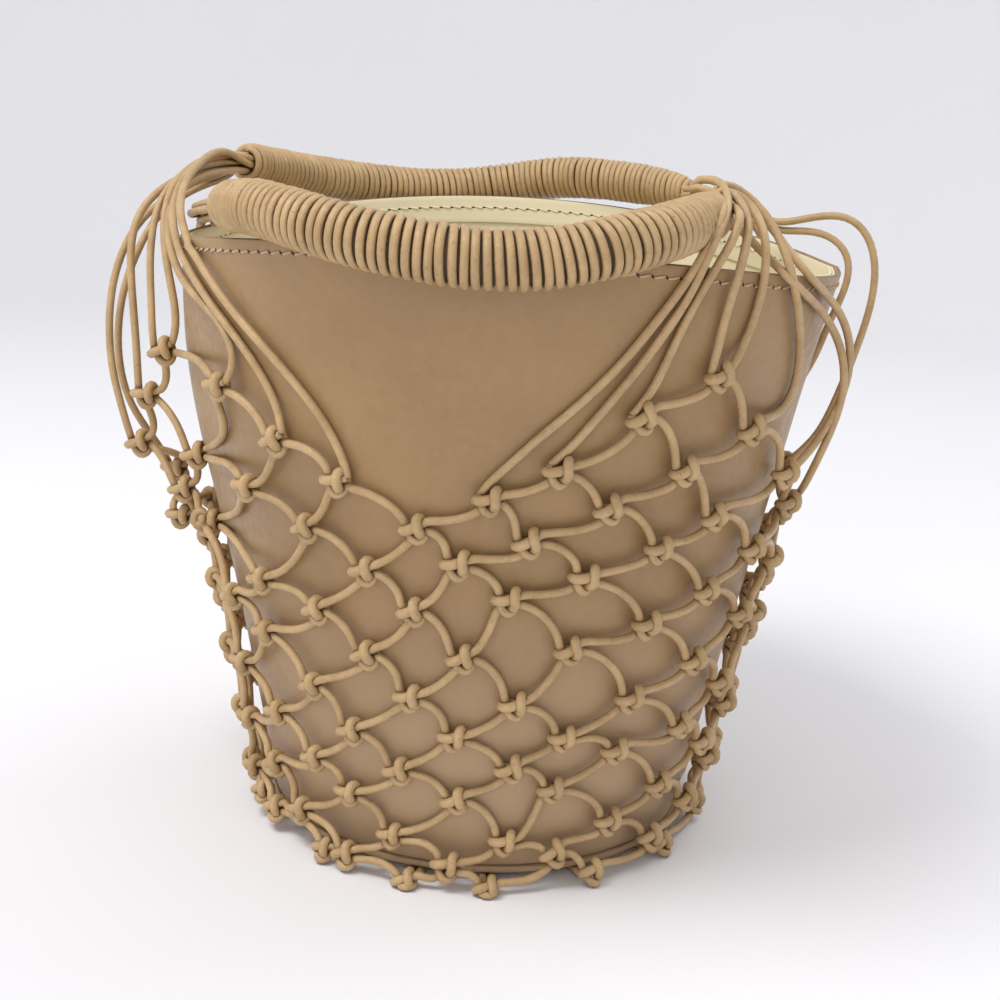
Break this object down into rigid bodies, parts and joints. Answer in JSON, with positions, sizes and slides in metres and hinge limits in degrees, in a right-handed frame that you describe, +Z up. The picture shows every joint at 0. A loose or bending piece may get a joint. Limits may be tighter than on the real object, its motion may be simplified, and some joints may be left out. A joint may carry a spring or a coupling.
{
  "type": "net-covered bucket bag",
  "caption": "Open leather bucket bag in a knotted leather cord net, whose long cords gather into cord-wrapped handles.",
  "frame": {"origin": "middle of the flat crossing of the net's cords under the sole, on the surface the bag stands on", "axes": "+Z up along the bag's axis, -Y to the front, where one V of the net is lowest, +X to the right of it"},
  "size_m": [0.3096, 0.3084, 0.2647],
  "materials": {
    "tan_leather": "smooth, satin",
    "cream_suede": "suede, matte",
    "tan_cord": "smooth round cord, satin"
  },
  "bodies": {
    "root": {"bucket_wall": "tan_leather", "base_panel": "tan_leather", "lining": "cream_suede", "rim_facing": "cream_suede", "net": "tan_cord", "net_base": "tan_cord", "front_handle": "tan_cord", "back_handle": "tan_cord", "front_left_cord_1": "tan_cord", "front_left_cord_2": "tan_cord", "front_left_cord_3": "tan_cord", "front_left_cord_4": "tan_cord", "front_left_cord_5": "tan_cord", "front_left_cord_6": "tan_cord", "front_left_cord_7": "tan_cord", "front_left_cord_8": "tan_cord", "back_left_cord_1": "tan_cord", "back_left_cord_2": "tan_cord", "back_left_cord_3": "tan_cord", "back_left_cord_4": "tan_cord", "back_left_cord_5": "tan_cord", "back_left_cord_6": "tan_cord", "back_left_cord_7": "tan_cord", "back_left_cord_8": "tan_cord", "front_right_cord_1": "tan_cord", "front_right_cord_2": "tan_cord", "front_right_cord_3": "tan_cord", "front_right_cord_4": "tan_cord", "front_right_cord_5": "tan_cord", "front_right_cord_6": "tan_cord", "front_right_cord_7": "tan_cord", "front_right_cord_8": "tan_cord", "back_right_cord_1": "tan_cord", "back_right_cord_2": "tan_cord", "back_right_cord_3": "tan_cord", "back_right_cord_4": "tan_cord", "back_right_cord_5": "tan_cord", "back_right_cord_6": "tan_cord", "back_right_cord_7": "tan_cord", "back_right_cord_8": "tan_cord"}
  },
  "joints": []
}
